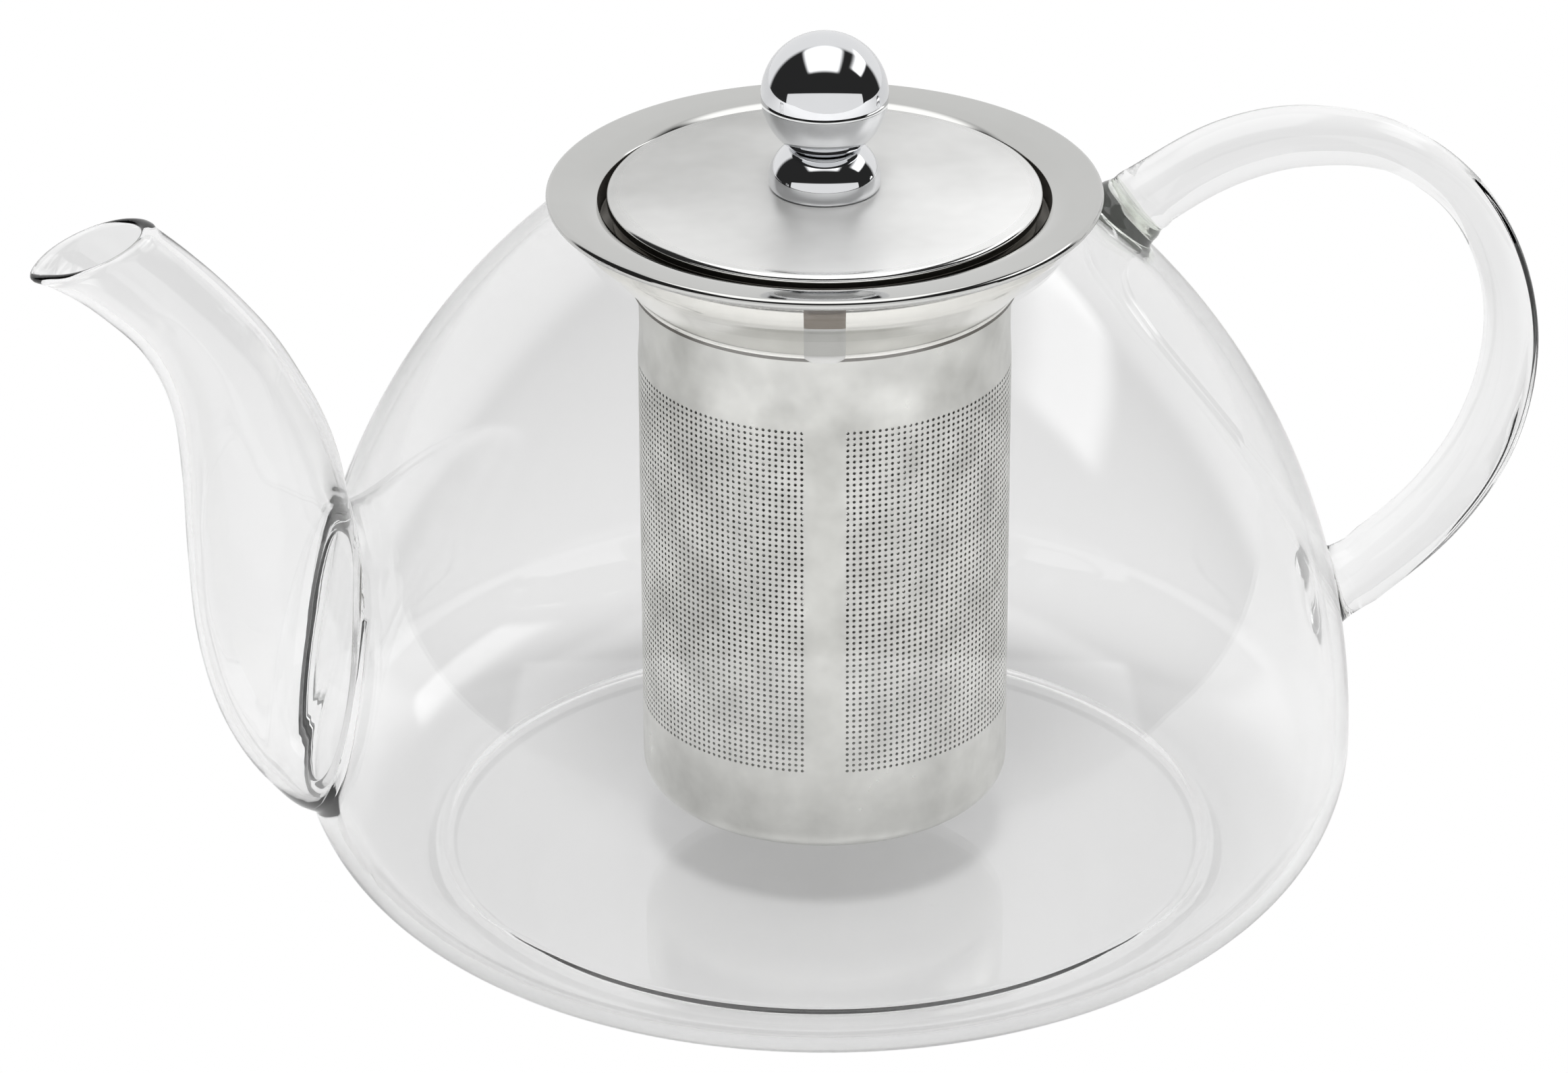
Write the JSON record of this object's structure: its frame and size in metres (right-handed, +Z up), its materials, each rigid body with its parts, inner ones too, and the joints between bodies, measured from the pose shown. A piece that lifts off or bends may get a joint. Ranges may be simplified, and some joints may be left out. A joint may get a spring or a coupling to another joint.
{
  "type": "teapot",
  "caption": "Clear glass teapot with a flat base, curved spout, round loop handle, lift-out perforated steel tea strainer and a domed steel lid with a ball knob.",
  "frame": {"origin": "centre of the pot's flat base, on the axis of the body, in the plane it stands on", "axes": "+Z up along the axis of the body, +X towards the handle, -X towards the spout"},
  "size_m": [0.2424, 0.17, 0.1418],
  "materials": {
    "clear_glass": "blown borosilicate glass, fire polished",
    "weld_glass": "fused borosilicate glass, fire polished",
    "satin_steel": "fine satin stainless steel",
    "polished_steel": "rolled bright stainless steel",
    "etched_steel": "matt photo-etched stainless steel sheet",
    "chrome": "mirror polished"
  },
  "bodies": {
    "pot": {"glass_body": "clear_glass", "spout_tube": "clear_glass", "spout_weld": "weld_glass", "handle_loop": "clear_glass", "handle_weld_top": "weld_glass", "handle_weld_bottom": "weld_glass"},
    "strainer": {"strainer_flange": "satin_steel", "strainer_collar": "polished_steel", "collar_strap": "satin_steel", "basket_wall": "etched_steel", "basket_bottom": "etched_steel"},
    "lid": {"lid_dome": "satin_steel", "lid_skirt": "polished_steel", "knob_base": "chrome", "knob_ball": "chrome", "knob_washer": "satin_steel", "knob_screw": "satin_steel"}
  },
  "joints": [
    {"name": "strainer_lift", "type": "slide", "parent": "pot", "child": "strainer", "axis": [0, 0, 1], "range_m": [0, 0.11]},
    {"name": "lid_lift", "type": "slide", "parent": "strainer", "child": "lid", "axis": [0, 0, 1], "range_m": [0, 0.04]}
  ]
}
